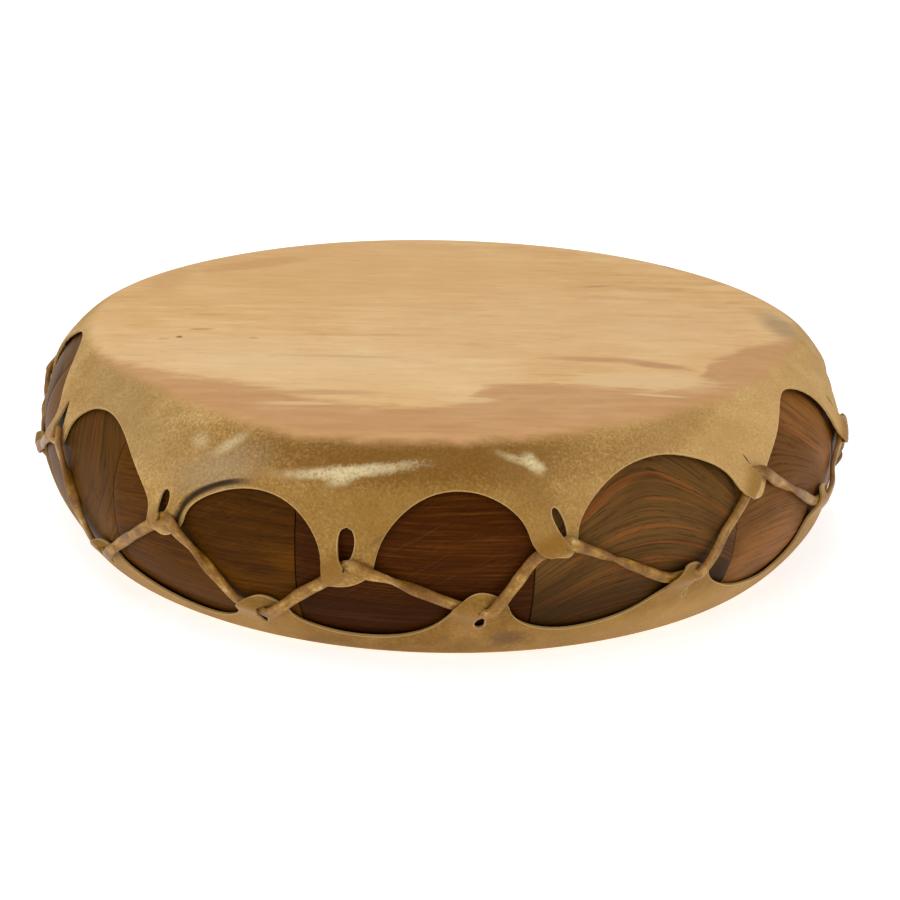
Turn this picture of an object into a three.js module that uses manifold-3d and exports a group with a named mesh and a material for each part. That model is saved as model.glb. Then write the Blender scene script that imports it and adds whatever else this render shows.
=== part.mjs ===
import * as THREE from 'three';
import { mergeVertices } from 'three/addons/utils/BufferGeometryUtils.js';
import Module from 'manifold-3d';

// A double-headed hand drum. A ring of mitred hardwood staves bulges outwards, a rawhide head is
// stretched over each side of it, and one rawhide thong laces the tabs of the two heads together.
// Millimetres, Z up, with the origin at the middle of the underside. Angles are in degrees from +X
// towards +Y, so the side that faces the viewer is at -90. Heights h are measured from mid height.

// Driving dimensions of the whole drum
const drumRadius = 200;
const drumHeight = 94.8;
const hideThickness = 2;
const gap = 0.3;

// The ring: its staves were cut and rounded by hand, so the rim is not quite round
const staveCount = 13;
const firstJointAngle = -134.4;
const topRimAtJoints = [171, 184.5, 176.5, 169, 168, 178, 177, 179, 178, 178, 177, 177, 174];
const bottomRimRadius = 181;
const topRoundness = 2.6;
const bottomRoundness = 2.25;
const ringInsideRadius = 156;

// The tabs were cut by eye: each has its angle, the height of its tip (its lip, where the thong
// pulls), the height that the scalloped edge reaches between it and the next tab, and how much the
// edge leans there, which is how much further it reaches on the next tab's side
const topTabs = [
  { angle: -150.2, lip: 11, edge: 35.5, lean: 0 },
  { angle: -124.8, lip: -2.5, edge: 24.5, lean: 0.4 },
  { angle: -101, lip: -9.4, edge: 31, lean: 0.25 },
  { angle: -76.8, lip: 3.2, edge: 36.5, lean: -0.2 },
  { angle: -48.5, lip: 10.9, edge: 41.5, lean: 0 },
  { angle: -20, lip: 9, edge: 40, lean: 0 },
  { angle: 4.9, lip: 4, edge: 36, lean: 0 },
  { angle: 29.8, lip: 1, edge: 34, lean: 0 },
  { angle: 54.7, lip: 4, edge: 36, lean: 0 },
  { angle: 79.5, lip: 0, edge: 33, lean: 0 },
  { angle: 104.4, lip: 3, edge: 35, lean: 0 },
  { angle: 129.3, lip: 6, edge: 37, lean: 0 },
  { angle: 154.1, lip: 4, edge: 38, lean: 0 },
  { angle: 179, lip: 6, edge: 44, lean: 0 },
];
const bottomTabs = [
  { angle: -137, lip: -23, edge: -38.4, lean: 0.5 },
  { angle: -111.2, lip: -19.5, edge: -35, lean: -0.1 },
  { angle: -85.2, lip: -9.6, edge: -30.6, lean: -0.2 },
  { angle: -59, lip: -7.2, edge: -32.4, lean: 0.2 },
  { angle: -30.5, lip: 0.5, edge: -32, lean: 0 },
  { angle: -5.7, lip: -8, edge: -34, lean: 0 },
  { angle: 19.2, lip: -12, edge: -36, lean: 0 },
  { angle: 44, lip: -9, edge: -34, lean: 0 },
  { angle: 68.8, lip: -13, edge: -36, lean: 0 },
  { angle: 93.7, lip: -10, edge: -35, lean: 0 },
  { angle: 118.5, lip: -8, edge: -34, lean: 0 },
  { angle: 143.3, lip: -11, edge: -36, lean: 0 },
  { angle: 168.2, lip: -9, edge: -38, lean: 0 },
  { angle: 193, lip: -3, edge: -41, lean: 0 },
];

// Every tab of a head has one shape. under and out are [degrees past the tab's middle, distance from
// its tip towards the rim]: where the thong goes in under the lip, and where it comes out of the slit
const topTab = {
  halfWidth: 3,
  tipDepth: 7,
  slitPast: 0.5,
  slitHeight: 16,
  slitHalfHeight: 9,
  slitHalfWidth: 2.4,
  slitSides: 6,
  under: [-2.3, 1.3],
  out: [1.4, 8.6],
  lipMiddle: [-1.5, 3],
};
const bottomTab = {
  halfWidth: 3.3,
  tipDepth: 6,
  slitPast: -0.1,
  slitHeight: 12.8,
  slitHalfHeight: 4.2,
  slitHalfWidth: 2.2,
  slitSides: 4,
  under: [-3, 5.2],
  out: [0.4, 11.8],
  lipMiddle: [-2, 6],
};

const slitDepth = 40;
const tipRoundness = 2.6;

// How far each lip stands off where the thong runs under it, and how far round (in degrees) and up
const lipLift = 7.4;
const lipHalfWidth = 1.6;
const lipHalfHeight = 9;

// The thong: its middle line's distance from the wood where it lies on it and where it runs over
// hide. It comes down from the hide from degreesBefore to degreesPast the right edge of a tab
const thongRadius = 2.7;
const onWood = thongRadius + gap + 0.25;
const overHide = thongRadius + hideThickness + 1.6;
const degreesBefore = 0.4;
const degreesPast = 1.8;

// The tunnel under a lip: the room round the thong, and how far it runs on past both its ends
const sideRoom = 1;
const roofRoom = 0.7;
const floorRoom = 0.5;
const tunnelBefore = 6;
const tunnelAfter = 4.5;

// The thong's two ends are tied at the back, on the run nearest to this angle, and their tails hang
// this many degrees and this far down from the knot
const knotAngle = 86.6;
const knotRadii = [8, 6, 5];
const knotTails = [[-3.4, -9], [1.2, -17]];
const tailRadii = [1.6, 2.5];

// Faceting
const staveSteps = 3;
const profileSteps = [-1, -0.8, -0.5, 0, 0.5, 0.8, 1];
const windowSteps = [-0.92, -0.6, 0, 0.6, 0.92];
const tabSteps = [-1, -0.5, 0.2, 1];
const rowSteps = [0, 0.35, 0.7, 0.88, 1];
const thongSides = 6;
const thongSteps = 140;
const knotSides = [9, 6];
const tailSteps = 3;
const mergeTolerance = 1e-3;

const halfHeight = drumHeight / 2;
const woodHalfHeight = halfHeight - hideThickness - gap;
const stavePitch = 360 / staveCount;
const fillRadius = 140;

const wasm = await Module();
wasm.setup();

function polar(angle, radius, h) {
  const turn = THREE.MathUtils.degToRad(angle);
  return new THREE.Vector3(radius * Math.cos(turn), radius * Math.sin(turn), h + halfHeight);
}

// Rim radius of one side of the drum: it runs evenly from one joint of the staves to the next
function rimRadius(angle, side) {
  if (side < 0) return bottomRimRadius;
  const along = THREE.MathUtils.euclideanModulo((angle - firstJointAngle) / stavePitch, staveCount);
  const stave = Math.floor(along);
  const from = topRimAtJoints[stave];
  const to = topRimAtJoints[(stave + 1) % staveCount];
  return THREE.MathUtils.lerp(from, to, along - stave);
}

// Outside of the hide: steep near mid height, then curving in towards the rim
function hideRadius(angle, h) {
  const side = Math.sign(h);
  const rim = rimRadius(angle, side);
  const roundness = side < 0 ? bottomRoundness : topRoundness;
  return rim + (drumRadius - rim) * (1 - Math.pow(Math.abs(h) / halfHeight, roundness));
}

// Outside of the wood at part of its own half height, from -1 to 1
function woodPoint(angle, part, clearance = 0) {
  const radius = hideRadius(angle, part * halfHeight) - hideThickness - gap;
  return polar(angle, radius + clearance, part * (woodHalfHeight + clearance));
}

// A closed body skinned over rings of equally many points, with a fan over each end
function skin(rings) {
  const count = rings[0].length;
  const positions = rings.flat();
  const middle = (ring) => ring.reduce((sum, p) => sum.add(p), new THREE.Vector3()).divideScalar(count);
  const startMiddle = positions.push(middle(rings[0])) - 1;
  const endMiddle = positions.push(middle(rings.at(-1))) - 1;
  const triangles = [];
  const lastRow = (rings.length - 1) * count;
  for (let i = 0; i < count; i++) {
    const next = (i + 1) % count;
    triangles.push([startMiddle, next, i], [endMiddle, lastRow + i, lastRow + next]);
    for (let row = 0; row < lastRow; row += count) {
      triangles.push([row + i, row + next, row + count + next]);
      triangles.push([row + i, row + count + next, row + count + i]);
    }
  }
  const volume = triangles.reduce((sum, [a, b, c]) => {
    return sum + positions[a].dot(new THREE.Vector3().crossVectors(positions[b], positions[c]));
  }, 0);
  if (volume < 0) triangles.forEach((triangle) => triangle.reverse());
  const geometry = new THREE.BufferGeometry().setFromPoints(positions);
  geometry.setIndex(triangles.flat());
  return geometry;
}

function toSolid(geometry) {
  const bare = geometry.clone();
  bare.deleteAttribute('normal');
  bare.deleteAttribute('uv');
  const merged = mergeVertices(bare, mergeTolerance);
  return new wasm.Manifold(new wasm.Mesh({
    numProp: 3,
    vertProperties: new Float32Array(merged.attributes.position.array),
    triVerts: new Uint32Array(merged.index.array),
  }));
}

function fromSolid(solid) {
  const result = solid.getMesh();
  const geometry = new THREE.BufferGeometry();
  geometry.setAttribute('position', new THREE.BufferAttribute(result.vertProperties, 3));
  geometry.setIndex(new THREE.BufferAttribute(result.triVerts, 1));
  return geometry;
}

// One stave: mitred at both ends, bulging outside and flat inside
function staveGeometry(index) {
  const start = firstJointAngle + index * stavePitch;
  const mitre = THREE.MathUtils.radToDeg(gap / 2 / ringInsideRadius);
  const rings = [];
  for (let step = 0; step <= staveSteps; step++) {
    const angle = start + mitre + (stavePitch - 2 * mitre) * step / staveSteps;
    const fromMiddle = THREE.MathUtils.degToRad(angle - start - stavePitch / 2);
    const inside = ringInsideRadius / Math.cos(fromMiddle);
    const outer = profileSteps.map((part) => woodPoint(angle, part));
    rings.push([...outer, polar(angle, inside, woodHalfHeight), polar(angle, inside, -woodHalfHeight)]);
  }
  return skin(rings);
}

// The whole ring's outside, filled in and grown by the gap: what the hide is pressed against
function ringFiller() {
  const rings = profileSteps.map((part) => {
    const ring = [];
    for (let step = 0; step < staveCount * staveSteps; step++) {
      ring.push(woodPoint(firstJointAngle + stavePitch * step / staveSteps, part, gap));
    }
    return ring;
  });
  return toSolid(skin(rings));
}

// The scalloped edge of a head as a list of { angle, h }, once round the drum
function edgeStations(tabs, shape, side) {
  return tabs.flatMap((tab, i) => {
    const next = tabs[(i + 1) % tabs.length];
    const nextAngle = next.angle + (i === tabs.length - 1 ? 360 : 0);
    const tip = side * shape.tipDepth;
    const onTab = tabSteps.map((across) => ({
      angle: tab.angle + across * shape.halfWidth,
      h: tab.lip + tip * Math.pow(Math.abs(across), tipRoundness),
    }));
    const middle = (tab.angle + nextAngle) / 2;
    const halfWindow = (nextAngle - tab.angle) / 2 - shape.halfWidth;
    const onWindow = windowSteps.map((along) => {
      const foot = THREE.MathUtils.lerp(tab.lip, next.lip, (along + 1) / 2) + tip;
      return {
        angle: middle + along * halfWindow,
        h: foot + (tab.edge - foot) * Math.sqrt(1 - along * along) * (1 + tab.lean * along),
      };
    });
    return [...onTab, ...onWindow];
  });
}

// How far the hide stands off where a lip is pulled out over the thong
function liftAt(angle, h, tabs, shape, side) {
  const [lipPast, lipUp] = shape.lipMiddle;
  return tabs.reduce((most, tab) => {
    const past = THREE.MathUtils.euclideanModulo(angle - tab.angle + 180, 360) - 180;
    const aside = (past - lipPast) / lipHalfWidth;
    const above = (side * (h - tab.lip) - lipUp) / lipHalfHeight;
    return Math.max(most, lipLift * Math.exp(-aside * aside - above * above));
  }, 0);
}

// Everything under a head's outside, down to its scalloped edge
function headFilled(tabs, shape, side) {
  const stations = edgeStations(tabs, shape, side);
  const rings = rowSteps.map((along) => stations.map(({ angle, h }) => {
    const height = THREE.MathUtils.lerp(side * halfHeight, h, along);
    return polar(angle, hideRadius(angle, height) + liftAt(angle, height, tabs, shape, side), height);
  }));
  const insideEdge = stations.map(({ angle, h }) => polar(angle, fillRadius, h));
  return toSolid(skin([...rings, insideEdge]));
}

// The slit in a tab that the thong comes out of
function slitCutter(tab, shape, side) {
  const cutter = new THREE.CylinderGeometry(1, 1, slitDepth, shape.slitSides);
  cutter.scale(shape.slitHalfWidth, 1, shape.slitHalfHeight);
  cutter.rotateZ(THREE.MathUtils.degToRad(tab.angle) - Math.PI / 2);
  const middle = polar(tab.angle + shape.slitPast, drumRadius, tab.lip + side * shape.slitHeight);
  cutter.translate(middle.x, middle.y, middle.z);
  return toSolid(cutter);
}

// A point of the thong's middle line, at a height off the wood's surface
function thongPoint(angle, h, offWood) {
  const step = 0.5;
  const slope = (hideRadius(angle, h + step) - hideRadius(angle, h - step)) / (2 * step);
  const normal = polar(angle, 1, -slope - halfHeight).normalize();
  const radius = hideRadius(angle, h) - hideThickness - gap;
  return polar(angle, radius, h).addScaledVector(normal, offWood);
}

// Where the thong goes under a tab's lip and where it comes out again, as angle and height
function tabStops(tab, shape, side) {
  const stop = ([past, up]) => ({ angle: tab.angle + past, h: tab.lip + side * up });
  return { tab, shape, under: stop(shape.under), out: stop(shape.out) };
}

// The thong's route: under each lip from the left, out of the slit, over the tab's right side and
// straight on to the next tab of the other head
function thongRoute() {
  const stops = [
    ...topTabs.map((tab) => tabStops(tab, topTab, 1)),
    ...bottomTabs.map((tab) => tabStops(tab, bottomTab, -1)),
  ];
  stops.sort((a, b) => a.tab.angle - b.tab.angle);
  const points = stops.flatMap(({ tab, shape, under, out }, i) => {
    const last = i === stops.length - 1;
    const next = stops[(i + 1) % stops.length].under;
    const nextAngle = next.angle + (last ? 360 : 0);
    const onTheWay = (angle, offWood) => {
      const along = (angle - out.angle) / (nextAngle - out.angle);
      return thongPoint(angle, THREE.MathUtils.lerp(out.h, next.h, along), offWood);
    };
    const leave = tab.angle + shape.halfWidth - degreesBefore;
    const land = tab.angle + shape.halfWidth + degreesPast;
    return [
      thongPoint(under.angle, under.h, onWood),
      thongPoint(out.angle, out.h, overHide),
      onTheWay(leave, overHide),
      onTheWay(land, onWood),
      onTheWay((land + nextAngle) / 2, onWood),
    ];
  });
  return new THREE.CatmullRomCurve3(points, true);
}

// The tunnel that the thong takes under a lip, open towards the wood
function tunnelCutter(tab, shape, side) {
  const { under, out } = tabStops(tab, shape, side);
  const from = thongPoint(under.angle, under.h, onWood);
  const to = thongPoint(out.angle, out.h, overHide);
  const outwards = polar(tab.angle, 1, -halfHeight);
  const along = to.clone().sub(from).normalize();
  const across = new THREE.Vector3().crossVectors(outwards, along).normalize();
  const up = new THREE.Vector3().crossVectors(along, across);
  const length = from.distanceTo(to) + tunnelBefore + tunnelAfter;
  const width = 2 * (thongRadius + sideRoom);
  const depth = 2 * thongRadius + roofRoom + floorRoom;
  const tunnel = new THREE.BoxGeometry(length, width, depth);
  tunnel.translate((tunnelAfter - tunnelBefore) / 2, 0, (roofRoom - floorRoom) / 2);
  tunnel.applyMatrix4(new THREE.Matrix4().makeBasis(along, across, up));
  const middle = from.add(to).divideScalar(2);
  tunnel.translate(middle.x, middle.y, middle.z);
  return toSolid(tunnel);
}

// One head: a skin of hide outside the ring, cut by its slits and tunnels
function headGeometry(tabs, shape, side, ring) {
  let head = headFilled(tabs, shape, side).subtract(ring);
  for (const tab of tabs) {
    head = head.subtract(slitCutter(tab, shape, side)).subtract(tunnelCutter(tab, shape, side));
  }
  return fromSolid(head);
}

// The knot is a lump on the thong, with the two ends of the thong hanging out of it
function knotSolid(route) {
  const goal = polar(knotAngle, drumRadius, 0);
  const place = route.points.reduce((best, p) => (p.distanceTo(goal) < best.distanceTo(goal) ? p : best));
  const angle = THREE.MathUtils.radToDeg(Math.atan2(place.y, place.x));
  const h = place.z - halfHeight;
  const middle = thongPoint(angle, h, knotRadii[2] + gap);
  const lump = new THREE.SphereGeometry(1, ...knotSides).scale(...knotRadii);
  lump.applyMatrix4(new THREE.Matrix4().lookAt(middle, polar(angle, 0, h), new THREE.Vector3(0, 0, 1)));
  lump.translate(middle.x, middle.y, middle.z);
  const section = new THREE.Shape(new THREE.EllipseCurve(0, 0, ...tailRadii).getPoints(thongSides).slice(1));
  return knotTails.reduce((knot, [aside, down]) => {
    const bend = thongPoint(angle + aside / 2, h + down / 2, onWood);
    const tip = thongPoint(angle + aside, h + down, onWood);
    const tail = new THREE.ExtrudeGeometry(section, {
      extrudePath: new THREE.CatmullRomCurve3([middle, bend, tip]),
      steps: tailSteps,
    });
    return knot.add(toSolid(tail));
  }, toSolid(lump));
}

function thongGeometry() {
  const route = thongRoute();
  const thong = toSolid(new THREE.TubeGeometry(route, thongSteps, thongRadius, thongSides, true));
  return fromSolid(thong.add(knotSolid(route)));
}

const rawhide = { color: 0xc9a06c, roughness: 0.6, metalness: 0 };
const drumWood = { color: 0x4f2f18, roughness: 0.45, metalness: 0 };
const thongHide = { color: 0xb58a45, roughness: 0.5, metalness: 0 };

const drum = new THREE.Group();

function addPiece(name, geometry, material) {
  const mesh = new THREE.Mesh(geometry, new THREE.MeshStandardMaterial(material));
  mesh.name = name;
  drum.add(mesh);
}

const ring = ringFiller();

for (let index = 0; index < staveCount; index++) {
  addPiece(`stave_${String(index + 1).padStart(2, '0')}`, staveGeometry(index), drumWood);
}
addPiece('top_head', headGeometry(topTabs, topTab, 1, ring), rawhide);
addPiece('bottom_head', headGeometry(bottomTabs, bottomTab, -1, ring), rawhide);
addPiece('lacing_thong', thongGeometry(), thongHide);

export default drum;
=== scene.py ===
import math
from functools import partial

import bpy
import numpy as np
from mathutils import Matrix, Vector
from mathutils.kdtree import KDTree


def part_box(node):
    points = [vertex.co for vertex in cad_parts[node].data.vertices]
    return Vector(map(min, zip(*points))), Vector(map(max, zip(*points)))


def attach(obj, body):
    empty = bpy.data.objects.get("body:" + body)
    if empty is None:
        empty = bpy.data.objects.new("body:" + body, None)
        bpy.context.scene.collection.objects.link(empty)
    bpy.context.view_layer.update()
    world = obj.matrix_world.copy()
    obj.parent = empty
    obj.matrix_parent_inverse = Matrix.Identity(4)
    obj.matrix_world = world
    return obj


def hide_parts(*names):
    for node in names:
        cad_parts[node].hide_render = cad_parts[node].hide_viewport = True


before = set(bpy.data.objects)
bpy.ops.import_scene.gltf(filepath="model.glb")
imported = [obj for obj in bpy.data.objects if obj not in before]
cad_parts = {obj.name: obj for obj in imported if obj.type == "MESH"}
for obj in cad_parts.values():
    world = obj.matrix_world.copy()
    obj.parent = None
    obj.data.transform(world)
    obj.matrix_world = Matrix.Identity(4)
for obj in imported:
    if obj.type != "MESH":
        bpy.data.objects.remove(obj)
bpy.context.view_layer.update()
print("frame loaded:", len(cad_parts), "nodes")

# A hand drum: thirteen walnut staves, a rawhide head on each side and one thong that laces them.
# Lengths are in millimetres and angles in degrees, from +X towards +Y, unless a note says metres.
# A height h is measured from mid height. The side that the camera sees is at -90 degrees.
mm = 0.001
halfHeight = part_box("top_head")[1][2] / 2 / mm

drum = {
    "radius": 200,
    "topRimAtJoints": [171, 184.5, 176.5, 169, 168, 178, 177, 179, 178, 178, 177, 177, 174],
    "firstJoint": -134.4,
    "bottomRim": 181,
    "topRoundness": 2.6,
    "bottomRoundness": 2.25,
    "hide": 2,
    "gap": 0.3,
    "inside": 156,
}
staveCount = len(drum["topRimAtJoints"])
stavePitch = 360 / staveCount


def colour(hexValue):
    channels = [(hexValue >> shift & 255) / 255 for shift in (16, 8, 0)]
    return [c / 12.92 if c <= 0.04045 else ((c + 0.055) / 1.055) ** 2.4 for c in channels] + [1.0]


def setInputs(tree, node, inputs):
    # inputs by name, or as a list for the sockets in use, in their order; a node stands for its first output
    if isinstance(inputs, list):
        pairs = list(zip([socket for socket in node.inputs if socket.enabled], inputs))
    else:
        pairs = [(node.inputs[name], value) for name, value in inputs.items()]
    for socket, value in pairs:
        if isinstance(value, bpy.types.Node):
            value = next(output for output in value.outputs if output.enabled)
        if isinstance(value, bpy.types.NodeSocket):
            tree.links.new(value, socket)
        else:
            socket.default_value = value


def addNode(tree, kind, inputs=(), stops=(), **settings):
    node = tree.nodes.new("ShaderNode" + kind)
    for name, value in settings.items():
        setattr(node, name, value)
    setInputs(tree, node, inputs or {})
    if stops:  # the stops of a colour ramp, as place and colour
        elements = node.color_ramp.elements
        while len(elements) < len(stops):
            elements.new(0.5)
        for element, (place, shade) in zip(elements, stops):
            element.position = place
            element.color = colour(shade)
    return node


def newMaterial(name):
    material = bpy.data.materials.new(name)
    material.use_nodes = True
    tree = material.node_tree
    return material, partial(addNode, tree), partial(setInputs, tree, tree.nodes["Principled BSDF"])


def pattern(add, place, size, detail=2, roughness=0.5, distortion=0.0):
    # smooth noise; size is how wide it is in millimetres along x, y and z, or one width for all
    cell = add("Mapping", {"Vector": place, "Scale": size if isinstance(size, tuple) else (size,) * 3},
               vector_type="TEXTURE")
    return add("TexNoise", {"Vector": cell, "Scale": 1, "Detail": detail, "Roughness": roughness,
                            "Distortion": distortion})


def weighed(add, values, shares, total=0.0):
    for value, share in zip(values, shares):
        total = add("Math", [value, share, total], operation="MULTIPLY_ADD")
    return total


# mixes a colour in over a mask: real stains and marks, and painted shade too
def stainOrShade(add, base, shade, mask, strength):
    share = add("Math", [mask, strength], operation="MULTIPLY", use_clamp=True)
    return add("Mix", [share, base, colour(shade)], data_type="RGBA")


def rimRadius(angle):
    along = np.mod((np.asarray(angle, float) - drum["firstJoint"]) / stavePitch, staveCount)
    return np.interp(along, range(staveCount + 1), drum["topRimAtJoints"] + drum["topRimAtJoints"][:1])


def softRim(angle):  # the hide bridges the corners of the rim, over 4 degrees to each side
    return sum(rimRadius(np.asarray(angle) + 4.0 * k / 3) * (4 - abs(k)) for k in range(-3, 4)) / 16


def hideRadius(angle, h, rim=rimRadius):
    below = np.asarray(h) < 0
    edge = np.where(below, drum["bottomRim"], rim(angle))
    power = np.where(below, drum["bottomRoundness"], drum["topRoundness"])
    return edge + (drum["radius"] - edge) * (1 - np.abs(np.asarray(h) / halfHeight) ** power)


def polar(angle, radius, h):  # millimetres to a place in metres
    turn = np.radians(angle)
    return np.stack([radius * np.cos(turn), radius * np.sin(turn), h + halfHeight], -1) * mm


def waves(places, seed, size):  # smooth unevenness between about -1 and 1, its size in millimetres
    rng = np.random.default_rng(seed)
    total = 0
    for _ in range(7):
        direction, phase = rng.normal(0, 1, 3) / size, rng.uniform(0, 2 * math.pi)
        total = total + np.sin(places / mm @ direction + phase)
    return total / 3


def movePoints(piece, places):
    piece.data.vertices.foreach_set("co", np.asarray(places, np.float32).ravel())
    piece.data.update()


def wrapGrid(name, columns, rows, places):
    # a flat grid whose points are moved to places, an array of rows by columns by three
    bpy.ops.object.select_all(action="DESELECT")
    bpy.ops.mesh.primitive_grid_add(x_subdivisions=columns - 1, y_subdivisions=rows - 1, size=1)
    piece = bpy.context.object
    piece.name = piece.data.name = name
    movePoints(piece, places)
    return piece


def selectOnly(piece, *others):
    bpy.ops.object.select_all(action="DESELECT")
    for chosen in (piece, *others):
        chosen.select_set(True)
    bpy.context.view_layer.objects.active = piece


def closeMesh(piece):  # a slit's two sides are already apart and stay so
    bpy.context.view_layer.objects.active = piece
    bpy.ops.object.mode_set(mode="EDIT")
    bpy.ops.mesh.select_all(action="SELECT")
    bpy.ops.mesh.remove_doubles(threshold=1e-6)
    bpy.ops.mesh.normals_make_consistent(inside=False)
    bpy.ops.object.mode_set(mode="OBJECT")


def applyModifier(piece, kind, **settings):
    modifier = piece.modifiers.new(kind.title(), kind)
    for name, value in settings.items():
        setattr(modifier, name, value)
    bpy.context.view_layer.objects.active = piece
    bpy.ops.object.modifier_apply(modifier=modifier.name)


def setPointValues(piece, name, values):
    attribute = piece.data.attributes.new(name, "FLOAT", "POINT")
    attribute.data.foreach_set("value", np.asarray(values, np.float32).ravel())


def pointPlaces(piece):
    places = np.zeros(len(piece.data.vertices) * 3, np.float32)
    piece.data.vertices.foreach_get("co", places)
    return places.reshape(-1, 3)


def nearestDistances(places, targets):
    tree = KDTree(len(targets))
    for number, target in enumerate(targets):
        tree.insert(target, number)
    tree.balance()
    return np.array([tree.find(place)[2] for place in places])


def finishPiece(piece, material, node, smoothAngle=40):
    selectOnly(piece)
    bpy.ops.object.shade_smooth_by_angle(angle=math.radians(smoothAngle))
    piece.data.materials.clear()
    piece.data.materials.append(material)
    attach(piece, "root")
    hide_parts(node)
    print(piece.name, "has", sum(len(p.vertices) - 2 for p in piece.data.polygons), "triangles")


# The camera stands where the photo's did. It was found from the drum's outline and the edge of its face
camera = {
    "distance": 746.5,
    "elevation": 18.953,
    "roll": 1.195,
    "focalPixels": 1446.07,
    "frameSize": 900,
    "drumPixel": (442.36, 404.13),
    "sensor": 36,
}


def makeCamera():
    elevation = math.radians(camera["elevation"])
    back = Vector((0, -math.cos(elevation), math.sin(elevation)))
    half = camera["frameSize"] / 2
    aside = (camera["drumPixel"][0] - half) / camera["focalPixels"]
    above = (half - camera["drumPixel"][1]) / camera["focalPixels"]
    forward, right = -back, Vector((1, 0, 0))
    up = right.cross(forward)
    pan = Matrix.Rotation(math.atan2(aside, 1), 3, up)
    forward, right = pan @ forward, pan @ right
    tilt = Matrix.Rotation(-math.atan2(above, math.hypot(1, aside)), 3, right)
    forward, up = tilt @ forward, tilt @ up
    roll = Matrix.Rotation(-math.radians(camera["roll"]), 3, -back)
    forward, up, right = roll @ forward, roll @ up, roll @ right
    data = bpy.data.cameras.new("camera")
    data.sensor_width = camera["sensor"]
    data.lens = camera["focalPixels"] / camera["frameSize"] * camera["sensor"]
    data.clip_start, data.clip_end = 0.01, 50
    made = bpy.data.objects.new("camera", data)
    bpy.context.scene.collection.objects.link(made)
    turn = Matrix((right, up, -forward)).transposed()
    place = back * camera["distance"] * mm + Vector((0, 0, halfHeight * mm))
    made.matrix_world = Matrix.Translation(place) @ turn.to_4x4()
    bpy.context.scene.camera = made


studio = {
    "world": (0xFFFFFF, 0.55),
    "floor": 0xE0DFDD,
    "floorSize": 12,
    "floorGlow": 0.64,
    "lookAt": (0, 0, 0.05),
    # name, place, size, power in watts
    "lights": [
        ("overheadSoftbox", (-0.25, 0.1, 1.35), 1.2, 7),
        ("frontLeftSoftbox", (-1.0, -1.1, 0.75), 0.9, 5),
        ("frontRightSoftbox", (1.2, -0.9, 0.6), 0.9, 4),
    ],
}


def makeStudio():
    world = bpy.data.worlds.new("studio")
    bpy.context.scene.world = world
    world.use_nodes = True
    shade, strength = studio["world"]
    tree = world.node_tree
    setInputs(tree, tree.nodes["Background"], {"Color": colour(shade), "Strength": strength})
    bpy.ops.mesh.primitive_plane_add(size=studio["floorSize"])
    floor = bpy.context.object
    floor.name = "floor"
    material, _, setShader = newMaterial("paperSweep")  # matt white paper that shows a soft shadow
    setShader({"Base Color": colour(studio["floor"]), "Roughness": 0.9,
               "Emission Color": colour(0xFFFFFF), "Emission Strength": studio["floorGlow"]})
    floor.data.materials.append(material)
    for name, place, size, power in studio["lights"]:
        data = bpy.data.lights.new(name, "AREA")
        data.size, data.energy = size, power
        light = bpy.data.objects.new(name, data)
        bpy.context.scene.collection.objects.link(light)
        light.location = place
        aim = Vector(studio["lookAt"]) - Vector(place)
        light.rotation_euler = aim.to_track_quat("-Z", "Y").to_euler()
    bpy.context.scene.view_settings.view_transform = "Standard"


makeCamera()
makeStudio()
print("camera, floor and lights ready")


# The heads. A head is a hide that was cut round with a tab over each slit and stretched wet over the rim.
# Each tab is a row: angle, lip (the height of its tip), edge (how high the scallop after it reaches),
# slit (degrees past the angle, height of its middle above the tip, half height, half width, slant),
# and where they aren't as usual: lift (how far it is pushed up by the thong under it), lean (how much
# further the scallop reaches on the next tab's side), wide (degrees to its left and right sides) and
# tipAt (where its tip is lowest)
tabKeys = ("angle", "lip", "edge", "slit", "lift", "lean", "wide", "tipAt")
usualTab = {"lift": 4.6, "lean": 0, "tipAt": 0}
topHead = {
    "side": 1,
    "tipDepth": 7,
    "thongUnder": (-2.3, 1.3),
    "tabs": [{**usualTab, "wide": (3, 3), **dict(zip(tabKeys, row))} for row in (
        (-150.2, 11, 33.9, (0.6, 12.6, 6.4, 2.4, 1.2), 4.6, -0.4, (2.4, 2.6)),
        (-124.8, -2.5, 25.7, (0.7, 13.7, 6.0, 2.6, -0.3), 3.8, 0.12, (1.5, 3.3), 0.2),
        (-101, -9.4, 31, (0.55, 17.5, 8.0, 3.7, 0.0), 5.6, 0.05, (2.1, 3.7), -0.3),
        (-76.8, 3.9, 36.8, (0.35, 13.1, 7.1, 2.2, 0.8), 5.0, 0.05, (3.0, 2.4), 1.0),
        (-48.5, 12.2, 38.8, (0.1, 13.4, 4.4, 1.2, 0.4), 3.9, 0.56, (3.3, 2.7), 0.6),
        (-20, 9, 33, (0.5, 15, 7, 1.9, 0), 4.2),
        (4.9, 4, 36, (0.5, 15, 7.4, 2.1, 0), 4.6, 0, (2.6, 3.2)),
        (29.8, 1, 34, (0.5, 15.5, 8, 2.5, 0)),
        (54.7, 4, 36, (0.4, 15, 6.6, 1.8, 0), 4.6, 0, (2.8, 2.6)),
        (79.5, 0, 33, (0.6, 15.5, 8, 2.6, 0), 4.6, 0, (2.4, 3.4)),
        (104.4, 3, 35, (0.5, 15, 7.4, 2.0, 0)),
        (129.3, 6, 37, (0.5, 15.5, 7.6, 2.3, 0), 4.6, 0, (2.6, 3.0)),
        (154.1, 4, 38, (0.4, 15, 7, 1.8, 0)),
        (179, 6, 44.8, (0.5, 15, 7.4, 2.1, 0), 4.6, -0.2, (2.6, 2.8)),
    )],
}
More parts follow.
